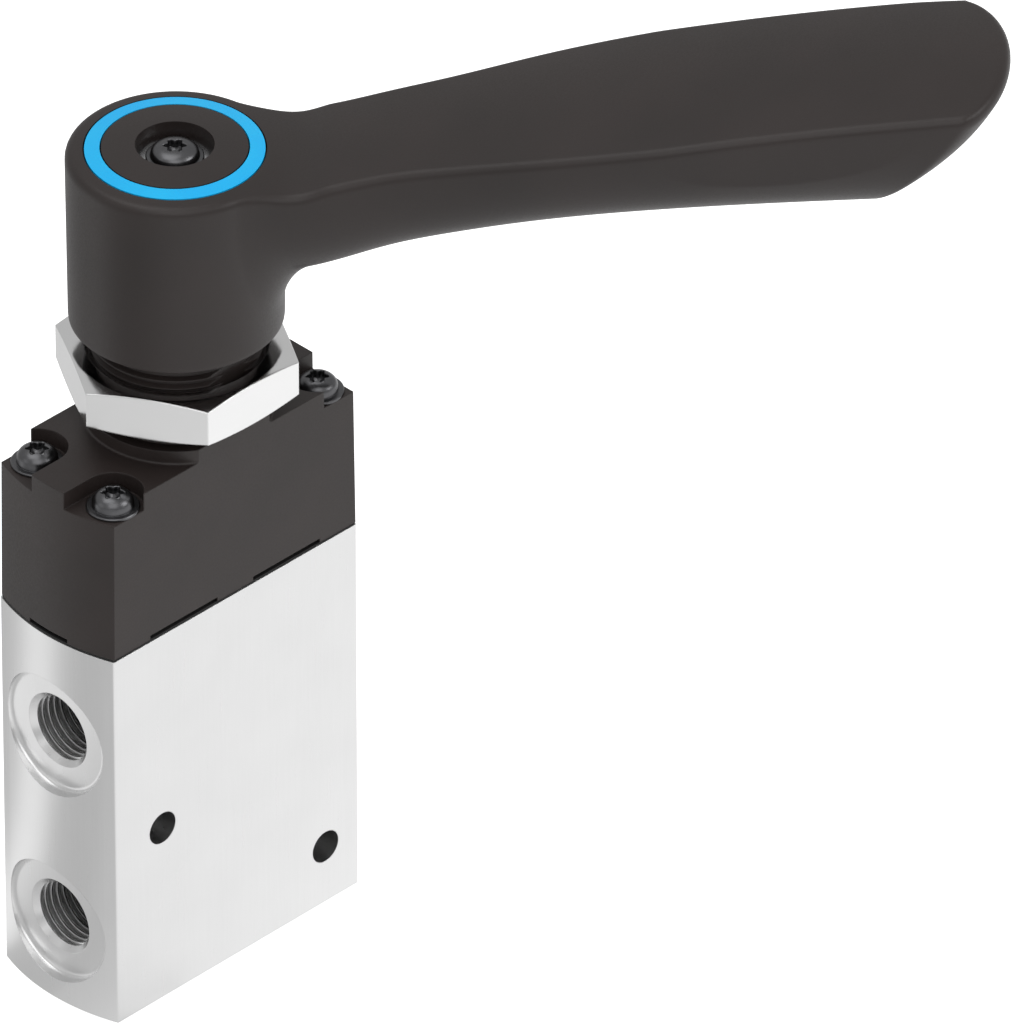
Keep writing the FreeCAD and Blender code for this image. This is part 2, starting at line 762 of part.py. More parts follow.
def arm_section(station):
    # One cross section of the arm, square to its length: a crowned top, two small rounds
    # and a deep rounded underside.
    s, half, crown_z, thickness = station
    edge_drop = crown_radius - math.sqrt(crown_radius ** 2 - half ** 2)
    edge_z = crown_z - edge_drop
    depth = thickness - edge_drop
    inner = half - arm_edge_round
    inner_drop = crown_radius - math.sqrt(crown_radius ** 2 - inner ** 2)
    low_points = []
    steps = 16
    start_angle = math.atan(arm_edge_round / depth)
    for step in range(steps + 1):
        angle = start_angle + (math.pi - 2 * start_angle) * step / steps
        across, down = rounded_corner(angle, arm_section_power)
        low_points.append(Vector(s, half * across, edge_z - depth * down))
    left = Vector(s, inner, crown_z - inner_drop)
    right = Vector(s, -inner, crown_z - inner_drop)
    top = Part.Arc(right, Vector(s, 0, crown_z), left).toShape()
    below = Part.BSplineCurve()
    below.interpolate(Points=low_points, Parameters=[step / steps for step in range(steps + 1)])
    shift = arm_edge_round * (1 - math.sqrt(0.5))
    left_mid = Vector(s, half - shift, edge_z - shift)
    right_mid = Vector(s, -half + shift, edge_z - shift)
    left_round = Part.Arc(left, left_mid, low_points[0]).toShape()
    right_round = Part.Arc(low_points[-1], right_mid, right).toShape()
    return Part.Wire([top, left_round, below.toShape(), right_round])


def tip_outline(drop, setback):
    # The plan of the arm's rounded tip at one level, with straight sides that run back past the hub.
    level = tip_level_z - drop
    points = []
    steps = 24
    for step in range(steps + 1):
        ahead, across = rounded_corner(math.pi * (step / steps - 0.5), tip_power)
        s = tip_start + tip_length * ahead - setback
        points.append(Vector(s, tip_half_width * across, level))
    curve = Part.BSplineCurve()
    curve.interpolate(points)
    back = -200.0
    corner_low = Vector(back, points[0].y, level)
    corner_high = Vector(back, points[-1].y, level)
    return Part.Wire([
        curve.toShape(),
        Part.makeLine(points[-1], corner_high),
        Part.makeLine(corner_high, corner_low),
        Part.makeLine(corner_low, points[0]),
    ])


def tip_envelope():
    # Leaves the arm's end face leaning and bulging as it goes down.
    outlines = [tip_outline(drop, setback) for drop, setback in reversed(tip_setbacks)]
    return Part.makeLoft(outlines, True, False)


def lever_arm():
    stations = [(gap, hub_bottom_radius - short, rise, thickness)
                for gap, short, rise, thickness in root_stations] + arm_stations
    sections = [arm_section((hub_bottom_radius + gap, half, hub_crown_z + rise, thickness))
                for gap, half, rise, thickness in stations]
    arm = Part.makeLoft(sections, True, False)
    return solid_of(arm.common(tip_envelope()))


def on_hub_side(edge):
    # True for the curve where the arm leaves the hub's side, and for no rim or seam.
    if edge.BoundBox.YLength < 1 or edge.BoundBox.ZLength < 1 or edge.Degenerated:
        return False
    slope = (hub_top_radius - hub_bottom_radius) / (hub_crown_z + 1 - hub_bottom_z)
    for share in (0.1, 0.5, 0.9):
        along = edge.FirstParameter + share * (edge.LastParameter - edge.FirstParameter)
        point = edge.valueAt(along)
        side_radius = hub_bottom_radius + slope * (point.z - hub_bottom_z)
        if abs(math.hypot(point.x, point.y) - side_radius) > 0.01:
            return False
    return True


def lever():
    cutters = [
        cylinder(counterbore_radius, counterbore_floor_z, tip_level_z),
        tube(ring_outer_radius + ring_gap, ring_inner_radius - ring_gap, hub_crown_z - ring_depth - 1,
             tip_level_z),
        tube(hub_core_outer, hub_core_inner, hub_bottom_z - 1, hub_bottom_z + hub_core_depth),
        hexagon(insert_flats + 2 * press_gap, hub_bottom_z - 1, counterbore_floor_z),
    ]
    shape = cut_all(join([lever_hub(), lever_arm()]), cutters)
    root = [edge for edge in shape.Edges if on_hub_side(edge)]
    shape = shape.makeFillet(arm_root_round, root)
    shape.rotate(origin, up, arm_azimuth)
    return solid_of(shape)


def colour_ring():
    bottom = hub_crown_z - ring_depth - 1
    ring = tube(ring_outer_radius, ring_inner_radius, bottom, hub_crown_z + 1)
    return solid_of(ring.common(dome_ball()))


def lever_insert():
    body = hexagon(insert_flats, insert_bottom_z, counterbore_floor_z)
    half = square_socket / 2
    socket = block(-half, half, -half, half, insert_bottom_z - 1, counterbore_floor_z - insert_web)
    hole = cylinder(screw_shank_radius + screw_hole_gap, insert_bottom_z, counterbore_floor_z + 1)
    insert = cut_all(body, [socket, hole])
    insert.rotate(origin, up, arm_azimuth)
    return insert


def lever_washer():
    top = counterbore_floor_z + lever_washer_thickness
    return tube(lever_washer_radius, screw_shank_radius + screw_hole_gap, counterbore_floor_z, top)


def lever_screw():
    screw = round_head_screw(lever_screw_flange_radius, lever_screw_dome_radius,
                             lever_screw_dome_height, screw_shank_radius, lever_screw_length)
    screw.translate(Vector(0, 0, counterbore_floor_z + lever_washer_thickness))
    return screw


def all_pieces():
    pieces = {
        "valve_body": valve_body(),
        "cover_gasket": cover_gasket(),
        "cover": cover(),
        "cover_screws": cover_screws(),
        "panel_nut": panel_nut(),
        "guide_sleeve": guide_sleeve(),
        "thrust_ring": thrust_ring(),
        "spindle_bush": spindle_bush(),
        "bottom_spacer": bottom_spacer(),
        "spool_guide": spool_guide(),
        "spool": spool(),
        "cross_pin": cross_pin(),
        "spindle": spindle(),
        "spindle_seal": spindle_seal(),
        "lever": lever(),
        "lever_insert": lever_insert(),
        "colour_ring": colour_ring(),
        "lever_washer": lever_washer(),
        "lever_screw": lever_screw(),
    }
    for number, place in enumerate(("bottom", "lower", "upper", "top")):
        pieces[place + "_spool_seal"] = seal(number)
    for number, place in enumerate(("inlet", "outlet", "exhaust")):
        pieces[place + "_cage"] = cage(number)
    return pieces


def main():
    os.makedirs("parts", exist_ok=True)
    for name, shape in all_pieces().items():
        if not shape.isValid():
            raise ValueError(name + " is not a valid shape")
        shape.exportStep("parts/" + name + ".step")
        print(name, len(shape.Solids), "solids,", round(shape.Volume, 1), "mm3")


main()
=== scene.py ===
import math

import bmesh
import bpy
import numpy as np
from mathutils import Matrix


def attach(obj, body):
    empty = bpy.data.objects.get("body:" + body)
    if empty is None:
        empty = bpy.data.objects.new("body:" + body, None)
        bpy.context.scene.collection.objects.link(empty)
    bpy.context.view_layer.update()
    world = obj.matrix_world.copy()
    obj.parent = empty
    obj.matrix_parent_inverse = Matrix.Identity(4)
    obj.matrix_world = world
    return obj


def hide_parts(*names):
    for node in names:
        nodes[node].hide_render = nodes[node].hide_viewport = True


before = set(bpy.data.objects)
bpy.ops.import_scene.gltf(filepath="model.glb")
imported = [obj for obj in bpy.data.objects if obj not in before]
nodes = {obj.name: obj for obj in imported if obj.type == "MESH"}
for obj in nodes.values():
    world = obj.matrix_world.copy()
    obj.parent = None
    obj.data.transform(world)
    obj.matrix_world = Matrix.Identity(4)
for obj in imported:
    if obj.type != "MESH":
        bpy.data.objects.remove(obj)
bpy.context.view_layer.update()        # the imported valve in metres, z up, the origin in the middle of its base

mm = 0.001


def aim(item, place, target):
    # stands an item at a place, its -Z axis towards the target and its X axis level
    back = np.array(place, float) - np.array(target, float)
    back /= np.linalg.norm(back)
    right = np.cross((0, 0, 1), back)
    right /= np.linalg.norm(right)
    matrix = np.eye(4)
    matrix[:3, 0], matrix[:3, 1] = right, np.cross(back, right)
    matrix[:3, 2], matrix[:3, 3] = back, place
    item.matrix_world = matrix.T.tolist()


view = {
    # place and target in metres, focal length and film width in mm
    "place": (-2.02025, -2.09492, 2.13878),
    "target": (0.04436, -0.03032, 0.07419),
    "lens": 780.34,
    "film": 36,
}


def addCamera(values):
    # a long lens from far away, looking down by 35 degrees at a corner of the body
    data = bpy.data.cameras.new("viewCamera")
    data.lens = values["lens"]
    data.sensor_width = values["film"]
    camera = bpy.data.objects.new("viewCamera", data)
    bpy.context.scene.collection.objects.link(camera)
    aim(camera, values["place"], values["target"])
    bpy.context.scene.camera = camera


addCamera(view)
print("camera in place")


def linear(hexText):
    # sRGB hex to linear RGBA
    values = [int(hexText[i:i + 2], 16) / 255 for i in (1, 3, 5)]
    return [v / 12.92 if v <= 0.04045 else ((v + 0.055) / 1.055) ** 2.4 for v in values] + [1.0]


def addNode(tree, kind, settings=None, links=None):
    # one node: settings fill its sockets or properties, links join its sockets to outputs
    node = tree.nodes.new(kind)
    for name, value in (settings or {}).items():
        if isinstance(name, int) or name in node.inputs:
            node.inputs[name].default_value = value
        else:
            setattr(node, name, value)
    for name, output in (links or {}).items():
        tree.links.new(output, node.inputs[name])
    return node


def newMaterial(name):
    material = bpy.data.materials.new(name)
    material.use_nodes = True
    material.node_tree.nodes.clear()
    return material, material.node_tree


studio = {
    "floorSize": 6.0,         # in metres, as are the lamps' places, targets and widths
    "floorColour": "#E8E8E8",
    "cameraGlow": 0.80,       # what the floor adds where the camera sees it, so that it is white
    # what polished metal mirrors of the floor, by the direction from the valve in shares of a
    # turn from -X: (share, brightness)
    "mirrored": [(0.0, 0.62), (0.045, 0.70), (0.075, 0.80), (0.10, 0.92), (0.16, 1.0),
                 (0.38, 1.04), (0.46, 1.08), (0.62, 0.90), (0.70, 0.71), (0.81, 0.58),
                 (0.86, 0.88), (0.885, 1.02), (0.93, 0.61), (0.97, 0.56), (1.0, 0.60)],
    "brightest": 2.0,         # the top of the scale that these brightnesses are kept on
    "skyColour": "#FFFFFF",
    "skyStrength": 0.50,
    # name: (place, target, width, power in watts, colour)
    "lamps": {
        "keyLamp": ((1.5, -2.2, 1.9), (0, 0, 0.08), 1.5, 20, "#FFFFFF"),
        "topLamp": ((-0.3, 0.5, 2.6), (0, 0, 0.1), 1.8, 13, "#FFFFFF"),
        "edgeLamp": ((-2.1, -2.1, 3.3), (0, 0, 0.15), 3.4, 34, "#FFFFFF"),
        "endLamp": ((-2.4, 1.2, 1.2), (0, 0, 0.08), 1.2, 2, "#FFFFFF"),
    },
}


def addFloor(values):
    # A pale matt floor that keeps the shadow and reads white to the camera. Polished metal
    # mirrors a soft sweep of light and dark cards instead of it.
    half = values["floorSize"] / 2
    corners = [(-half, -half, 0), (half, -half, 0), (half, half, 0), (-half, half, 0)]
    mesh = bpy.data.meshes.new("studioFloor")
    mesh.from_pydata(corners, [], [(0, 1, 2, 3)])
    floor = bpy.data.objects.new("studioFloor", mesh)
    bpy.context.scene.collection.objects.link(floor)
    material, tree = newMaterial("paleStudioFloor")
    path = addNode(tree, "ShaderNodeLightPath")
    glow = addNode(tree, "ShaderNodeMath", {"operation": "MULTIPLY", 1: values["cameraGlow"]},
                   {0: path.outputs["Is Camera Ray"]})
    paint = addNode(tree, "ShaderNodeBsdfDiffuse", {"Color": linear(values["floorColour"])})
    light = addNode(tree, "ShaderNodeEmission", {"Color": (1, 1, 1, 1)},
                    {"Strength": glow.outputs[0]})
    lit = addNode(tree, "ShaderNodeAddShader", {}, {0: paint.outputs[0], 1: light.outputs[0]})
    place = addNode(tree, "ShaderNodeTexCoord")
    turn = addNode(tree, "ShaderNodeTexGradient", {"gradient_type": "RADIAL"},
                   {"Vector": place.outputs["Object"]})
    sweep = addNode(tree, "ShaderNodeFloatCurve", {}, {"Value": turn.outputs["Fac"]})
    curve = sweep.mapping.curves[0]
    stops = values["mirrored"]
    sweep.mapping.clip_max_y = values["brightest"]
    curve.points[0].location, curve.points[1].location = stops[0], stops[-1]
    for stop in stops[1:-1]:
        curve.points.new(*stop)
    sweep.mapping.update()
    card = addNode(tree, "ShaderNodeEmission", {"Color": (1, 1, 1, 1)},
                   {"Strength": sweep.outputs[0]})
    mirrored = addNode(tree, "ShaderNodeMath", {"operation": "MAXIMUM"},
                       {0: path.outputs["Is Glossy Ray"], 1: path.outputs["Is Transmission Ray"]})
    both = addNode(tree, "ShaderNodeMixShader", {},
                   {0: mirrored.outputs[0], 1: lit.outputs[0], 2: card.outputs[0]})
    addNode(tree, "ShaderNodeOutputMaterial", {}, {"Surface": both.outputs[0]})
    mesh.materials.append(material)


def addSky(values):
    # an even sky that is white where the camera sees it
    world = bpy.data.worlds.new("studioSky")
    world.use_nodes = True
    tree = world.node_tree
    tree.nodes.clear()
    path = addNode(tree, "ShaderNodeLightPath")
    shown = addNode(tree, "ShaderNodeMath", {"operation": "MAXIMUM"},
                    {0: path.outputs["Is Camera Ray"], 1: path.outputs["Is Transmission Ray"]})
    strength = addNode(tree, "ShaderNodeMapRange", {"To Min": values["skyStrength"], "To Max": 1.0},
                       {"Value": shown.outputs[0]})
    sky = addNode(tree, "ShaderNodeBackground", {"Color": linear(values["skyColour"])},
                  {"Strength": strength.outputs[0]})
    addNode(tree, "ShaderNodeOutputWorld", {}, {"Surface": sky.outputs[0]})
    bpy.context.scene.world = world


def addLamps(lamps):
    for name, (place, target, width, power, colour) in lamps.items():
        data = bpy.data.lights.new(name, "AREA")
        data.shape = "SQUARE"
        data.size = width
        data.energy = power
        data.color = linear(colour)[:3]
        lamp = bpy.data.objects.new(name, data)
        bpy.context.scene.collection.objects.link(lamp)
        aim(lamp, place, target)


addFloor(studio)
addSky(studio)
addLamps(studio["lamps"])
bpy.context.scene.view_settings.view_transform = "Standard"
print("floor and lights in place")


def patternSpace(tree, stretch=(1, 1, 1)):
    # object coordinates in millimetres, squeezed along the directions in which a pattern runs
    place = addNode(tree, "ShaderNodeTexCoord")
    scale = [1000 * s for s in stretch]
    return addNode(tree, "ShaderNodeMapping", {"Scale": scale},
                   {"Vector": place.outputs["Object"]}).outputs[0]


def paintedHoleShade(tree, holes, soft=0.05):
    # Painted shade: a darker tone for each hole, where the bore lies in shadow, and one elsewhere: a point is in
    # a hole when its distance from the hole's axis, with the distance along it squeezed, is less than the
    # radius. The tone fades over a soft width in mm.
    space, shade = patternSpace(tree), None
    for squeeze, centre, radius, tone in holes:
        away = addNode(tree, "ShaderNodeVectorMath", {"operation": "SUBTRACT", 1: centre},
                       {0: space})
        flat = addNode(tree, "ShaderNodeVectorMath", {"operation": "MULTIPLY", 1: squeeze},
                       {0: away.outputs[0]})
        span = addNode(tree, "ShaderNodeVectorMath", {"operation": "LENGTH"}, {0: flat.outputs[0]})
        part = addNode(tree, "ShaderNodeMapRange",
                       {"From Min": radius, "From Max": radius + soft,
                        "To Min": tone, "To Max": 1.0},
                       {"Value": span.outputs["Value"]}).outputs[0]
        shade = part if shade is None else addNode(
            tree, "ShaderNodeMath", {"operation": "MINIMUM"}, {0: shade, 1: part}).outputs[0]
    return shade


def mouldedPlastic(name, look):
    # Injection-moulded plastic: a spark-eroded grain from the mould, faint clouds in colour
    # where the melt flowed, and a sheen that varies with the grain.
    material, tree = newMaterial(name)
    space = patternSpace(tree)
    grain = addNode(tree, "ShaderNodeTexNoise",
                    {"Scale": 1 / look["grainWidth"], "Detail": 3.0, "Roughness": 0.6},
                    {"Vector": space})
    cloud = addNode(tree, "ShaderNodeTexNoise",
                    {"Scale": 1 / look["cloudWidth"], "Detail": 2.0}, {"Vector": space})
    tint = addNode(tree, "ShaderNodeMapRange", {"From Min": 0.3, "From Max": 0.7},
                   {"Value": cloud.outputs["Fac"]})
    speckle = addNode(tree, "ShaderNodeMapRange",
                      {"From Min": 0.35, "From Max": 0.65, "To Min": -0.5, "To Max": 0.5},
                      {"Value": grain.outputs["Fac"]})
    shade = addNode(tree, "ShaderNodeMath", {"operation": "MULTIPLY_ADD", 1: look["speckle"]},
                    {0: speckle.outputs[0], 2: tint.outputs[0]})
    colour = addNode(tree, "ShaderNodeMix",
                     {"data_type": "RGBA", 6: linear(look["dark"]), 7: linear(look["light"])},
                     {0: shade.outputs[0]})
    rough = addNode(tree, "ShaderNodeMapRange",
                    {"From Min": 0.3, "From Max": 0.7,
                     "To Min": look["roughLow"], "To Max": look["roughHigh"]},
                    {"Value": grain.outputs["Fac"]})
    relief = {"Height": grain.outputs["Fac"]}
    if "edge" in look:        # normals that turn over an edge, so that it catches a thin light
        relief["Normal"] = addNode(tree, "ShaderNodeBevel",
                                   {"samples": 4, "Radius": look["edge"] * mm}).outputs[0]
    bump = addNode(tree, "ShaderNodeBump",
                   {"Strength": 1.0, "Distance": look["grainDepth"] * mm}, relief)
    surface = addNode(tree, "ShaderNodeBsdfPrincipled", {"IOR": look["ior"]},
                      {"Base Color": colour.outputs[2], "Roughness": rough.outputs[0],
                       "Normal": bump.outputs[0]})
    addNode(tree, "ShaderNodeOutputMaterial", {}, {"Surface": surface.outputs[0]})
    return material


def workedMetal(name, look):
    # Metal with fine tool marks: streaks along one direction, a film that clouds a little, and
    # both of them in the colour, the streaks in the roughness too.
    material, tree = newMaterial(name)
    streaks = addNode(tree, "ShaderNodeTexNoise",
                      {"Scale": 1 / look["markWidth"], "Detail": 4.0, "Roughness": 0.65},
                      {"Vector": patternSpace(tree, look["stretch"])})
    cloud = addNode(tree, "ShaderNodeTexNoise", {"Scale": 1 / look["cloudWidth"], "Detail": 2.0},
                    {"Vector": patternSpace(tree)})
    mixed = addNode(tree, "ShaderNodeMix", {0: 0.5},
                    {2: streaks.outputs["Fac"], 3: cloud.outputs["Fac"]})
    shade = addNode(tree, "ShaderNodeMapRange", {"From Min": 0.35, "From Max": 0.65},
                    {"Value": mixed.outputs[0]})
    colour = addNode(tree, "ShaderNodeMix",
                     {"data_type": "RGBA", 6: linear(look["dark"]), 7: linear(look["light"])},
                     {0: shade.outputs[0]})
    # painted shade: the colour is darkened inside the holes that the look lists
    if "holes" in look:
        colour = addNode(tree, "ShaderNodeMix",
                         {"data_type": "RGBA", "blend_type": "MULTIPLY", 0: 1.0},
                         {6: colour.outputs[2], 7: paintedHoleShade(tree, look["holes"])})
    rough = addNode(tree, "ShaderNodeMapRange",
                    {"From Min": 0.3, "From Max": 0.7,
                     "To Min": look["roughLow"], "To Max": look["roughHigh"]},
                    {"Value": streaks.outputs["Fac"]})
    relief = {"Height": streaks.outputs["Fac"]}
    if "edge" in look:        # as on the plastics
        relief["Normal"] = addNode(tree, "ShaderNodeBevel",
                                   {"samples": 4, "Radius": look["edge"] * mm}).outputs[0]
    bump = addNode(tree, "ShaderNodeBump",
                   {"Strength": 1.0, "Distance": look["markDepth"] * mm}, relief)
    surface = addNode(tree, "ShaderNodeBsdfPrincipled", {"Metallic": 1.0},
                      {"Base Color": colour.outputs[2], "Roughness": rough.outputs[0],
                       "Normal": bump.outputs[0]})
    addNode(tree, "ShaderNodeOutputMaterial", {}, {"Surface": surface.outputs[0]})
    return material


# Widths, depths and edges are in mm. The grain of an eroded mould is about 0.05 mm wide and tool
# marks are finer still, which is too fine to show, so both are drawn several times coarser.
plastics = {
    # glass-filled nylon, moulded: a soft warm black with an even eroded grain
    "mouldedNylonCover": {"dark": "#28211F", "light": "#2F2725", "speckle": 0.25,
                          "roughLow": 0.42, "roughHigh": 0.54, "ior": 1.5, "edge": 0.3,
                          "grainWidth": 0.35, "grainDepth": 0.008, "cloudWidth": 14},
    # the same nylon in a finer mould
    "mouldedNylonLever": {"dark": "#261F1D", "light": "#2C2422", "speckle": 0.2,
                          "roughLow": 0.38, "roughHigh": 0.50, "ior": 1.5,
                          "grainWidth": 0.3, "grainDepth": 0.007, "cloudWidth": 20},
    # ABS, moulded smooth in a clear sky blue
    "mouldedAbsAzure": {"dark": "#00BCFF", "light": "#0CC4FF", "speckle": 0.2,
                        "roughLow": 0.32, "roughHigh": 0.42, "ior": 1.5,
                        "grainWidth": 0.5, "grainDepth": 0.003, "cloudWidth": 9},
    # acetal, turned: milky white
    "turnedAcetal": {"dark": "#DCD9D0", "light": "#E8E6DF", "speckle": 0.2,
                     "roughLow": 0.35, "roughHigh": 0.5, "ior": 1.48,
                     "grainWidth": 0.4, "grainDepth": 0.004, "cloudWidth": 6},
    # nitrile rubber, pressed: near black and dull
    "pressedNitrileRubber": {"dark": "#161616", "light": "#1E1E1E", "speckle": 0.3,
                             "roughLow": 0.6, "roughHigh": 0.75, "ior": 1.52,
                             "grainWidth": 0.3, "grainDepth": 0.01, "cloudWidth": 5},
}
# painted shade inside the drilled and tapped holes, where the bores lie in shadow: how far each direction
# counts, a place on the axis and the radius in mm, and the tone of the painted shade
paintedShadeInHoles = [((1, 0, 1), (-16.95, 0, 33.95), 3.0, 0.86),
                ((1, 0, 1), (19.75, 0, 11.3), 3.0, 0.86),
                ((0.35, 1, 1), (-12, 0, 15), 6.62, 0.45),
                ((0.35, 1, 1), (-12, 0, 52), 6.62, 0.45),
                ((0.35, 1, 1), (11.4, 0, 33.5), 6.62, 0.45)]
metals = {
    # aluminium, extruded, blasted and anodised: pale satin with faint upright lines
    "satinAnodisedAluminium": {"dark": "#E7E7E7", "light": "#EBEBEB", "cloudWidth": 12,
                               "roughLow": 0.27, "roughHigh": 0.32, "edge": 0.15,
                               "markWidth": 0.5, "markDepth": 0.0012, "stretch": (1, 1, 0.03),
                               # painted shade inside the drilled holes
                               "holes": paintedShadeInHoles},
    # brass, turned and nickel plated: a bright mirror, softened by traces of the tool
    "polishedNickelPlate": {"dark": "#F0F0F0", "light": "#F3F3F3", "cloudWidth": 8,
                            "roughLow": 0.11, "roughHigh": 0.16, "edge": 0.4,
                            "markWidth": 0.6, "markDepth": 0.0001, "stretch": (1, 1, 0.3)},
    # steel, cold headed and blackened: a dark gloss
    "burnishedScrewSteel": {"dark": "#626264", "light": "#6A6A6C", "cloudWidth": 3,
                            "roughLow": 0.28, "roughHigh": 0.34, "edge": 0.1,
                            "markWidth": 0.5, "markDepth": 0.0002, "stretch": (1, 1, 1)},
    # steel, ground round: bright, with fine lines round the axis
    "groundSteel": {"dark": "#B9BABC", "light": "#C9CACC", "cloudWidth": 6,
                    "roughLow": 0.18, "roughHigh": 0.3,
                    "markWidth": 0.4, "markDepth": 0.002, "stretch": (0.2, 0.2, 1)},
    # bronze, pressed from powder and sintered: dull and full of pores
    "sinteredBronze": {"dark": "#9A7448", "light": "#B58D5E", "cloudWidth": 4,
                       "roughLow": 0.4, "roughHigh": 0.6,
                       "markWidth": 0.3, "markDepth": 0.01, "stretch": (1, 1, 1)},
}
finishes = {name: mouldedPlastic(name, look) for name, look in plastics.items()}
finishes.update({name: workedMetal(name, look) for name, look in metals.items()})

nodeFinishes = {
    "satinAnodisedAluminium": ["valve_body"],
    "mouldedNylonCover": ["cover"],
    "mouldedNylonLever": ["lever"],
    "mouldedAbsAzure": ["colour_ring"],
    "polishedNickelPlate": ["panel_nut"],
    "burnishedScrewSteel": ["cover_screws", "lever_screw"],
    "groundSteel": ["spool", "cross_pin", "spindle", "lever_insert", "lever_washer"],
    "sinteredBronze": ["guide_sleeve", "spindle_bush"],
    "turnedAcetal": ["thrust_ring", "bottom_spacer", "spool_guide", "inlet_cage", "outlet_cage",
                     "exhaust_cage"],
    "pressedNitrileRubber": ["cover_gasket", "spindle_seal", "bottom_spool_seal",
                             "lower_spool_seal", "upper_spool_seal", "top_spool_seal"],
}
for finish, names in nodeFinishes.items():
    for name in names:
        for place in nodes[name].material_slots:
            place.material = finishes[finish]
print("finishes on", sum(len(names) for names in nodeFinishes.values()), "nodes")


def spline(table):
    # A natural cubic spline through the rows of a table. The second derivatives solve the usual
    # three-banded system, and the values and slopes stay level beyond the two ends.
    x, *columns = np.array(table, float).T
    gap, y = np.diff(x), np.array(columns)
    bands = (np.diag(np.r_[1, 2 * (gap[:-1] + gap[1:]), 1]) + np.diag(np.r_[0, gap[1:]], 1)
             + np.diag(np.r_[gap[:-1], 0], -1))
    bend = np.linalg.solve(bands, np.pad(6 * np.diff(np.diff(y) / gap), ((0, 0), (1, 1))).T).T

    def at(t):
        held = np.clip(t, x[0], x[-1])
        i = np.clip(np.searchsorted(x, held) - 1, 0, len(x) - 2)
        a, b, h = x[i + 1] - held, held - x[i], gap[i]
        value = ((bend[:, i] * a ** 3 + bend[:, i + 1] * b ** 3) / (6 * h)
                 + (y[:, i] / h - bend[:, i] * h / 6) * a
                 + (y[:, i + 1] / h - bend[:, i + 1] * h / 6) * b)
        slope = ((bend[:, i + 1] * b ** 2 - bend[:, i] * a ** 2) / (2 * h)
                 + (y[:, i + 1] - y[:, i]) / h - (bend[:, i + 1] - bend[:, i]) * h / 6)
        return value, slope * (held == t)
    return at


def asDistance(level, gradient):
    # A field over the length of its gradient is nearly the distance to its zero surface.
    length = np.sqrt(sum(g * g for g in gradient)) + 1e-9
    return level / length, np.array([g / length for g in gradient])


def roundedJoin(first, second, radius, sign):
    # Two solids joined (sign 1) or kept only in common (sign -1), with a ball of the radius
    # rolled along their corner: between the two normals, the surface is where the ball's
    # centre, at the radius from both solids, is the radius away.
    (da, na), (db, nb) = (sign * first[0], sign * first[1]), (sign * second[0], sign * second[1])
    c = (na * nb).sum(0)
    p, q, k = da - radius, db - radius, np.maximum(1 - c * c, 1e-4)
    alpha, beta = (q * c - p) / k, (p * c - q) / k
    far = np.sqrt(np.maximum((p * p + q * q - 2 * p * q * c) / k, 1e-12))
    inCorner = (alpha > 0) & (beta > 0)
    near = da < db
    distance = np.where(inCorner, radius - far, np.where(near, da, db))
    gradient = np.where(inCorner, (alpha * na + beta * nb) / far, np.where(near, na, nb))
    return sign * distance, sign * gradient


leverForm = {
    # Sizes and levels are in mm, and s is the distance from the hub's axis along the arm.
    # the arm's stations: s, half width, rise of the top's middle over the hub's, thickness
    "stations": [(6, 13.6, -0.9, 18.4), (12, 13.3, -1.0, 18.9), (18, 12.9, -0.85, 19.2),
                 (25.5, 12.6, 0.5, 18.9), (34, 12.8, 2.7, 18.0), (43, 13.7, 4.6, 17.2),
                 (58, 15.9, 7.8, 16.6), (75, 17.6, 11.1, 17.2), (92, 18.35, 13.85, 18.5),
                 (109, 18.1, 16.05, 20.15), (124, 17.5, 17.4, 21.3), (138, 17.1, 17.9, 21.8)],
    # where the arm begins inside the hub, the rounding there, and the power of its section
    "armStart": 4, "armStartRound": 0.5, "sectionPower": 3.3,
    # the tip's lean: drop below its highest level, how far its face is set back there
    "setbacks": [(-10, -5), (-2, -1), (6, 3.6), (14, 11.8), (22, 25.2), (31, 47), (40, 70),
                 (55, 106)],
    # the tip: its furthest s and highest level, length, half width and skew of its half
    # ellipse, and the rounding where it cuts the arm
    "tipReach": 132.95, "tipLevel": 169.65, "tipLength": 8.5, "tipHalfWidth": 17.75,
    "tipSkew": 0.015, "tipRound": 2,
    # the hub: level of its top and foot, radius at the foot and its growth per mm upwards
    "crown": 152.95, "foot": 120.15, "hubRadius": 17.35, "hubFlare": 0.0065, "footRound": 0.6,
    # the top: radius of its dome, and where in s it passes from the hub's ball to the arm's line
    "domeRadius": 107, "blendFrom": 14.7, "blendTo": 25,
    # the rounding under the arm's root and round the top's edge
    "rootRound": 9, "edgeRound": 1.6,
}
leverMesh = {
    # how the surface is walked over, which leaves the form as it is
    # columns round the path, and rows in each half of the foot, down the hub, round the elbow
    # under the arm's root, along the arm and over the tip
    "columns": 224, "footRows": 15, "hubRows": 5, "elbowRows": 150, "armRows": 96, "tipRows": 91,
    # the elbow's place (s, level), the level of the foot's fan of rays, the tilt in degrees
    # where its halves meet, and the tip's fan in s
    "elbow": (23.4, 127.7), "footFan": 126, "footTilt": 19, "tipFan": 106,
    # steps out along a ray: their number, the share of the distance left that each one takes and
    # the least in mm, and then the number of halvings
    "steps": 26, "stepShare": 0.8, "leastStep": 0.4, "halvings": 13,
    # points looked at round each row, what turning counts against length, the least weight,
    # and the rows to each side that the spread is averaged over
    "looks": 289, "turningWeight": 5, "leastWeight": 0.02, "evenRows": 4,
    # the angle in degrees from which an edge is drawn sharp
    "sharpFrom": 35,
}
spine = spline(leverForm["stations"])
setback = spline(leverForm["setbacks"])


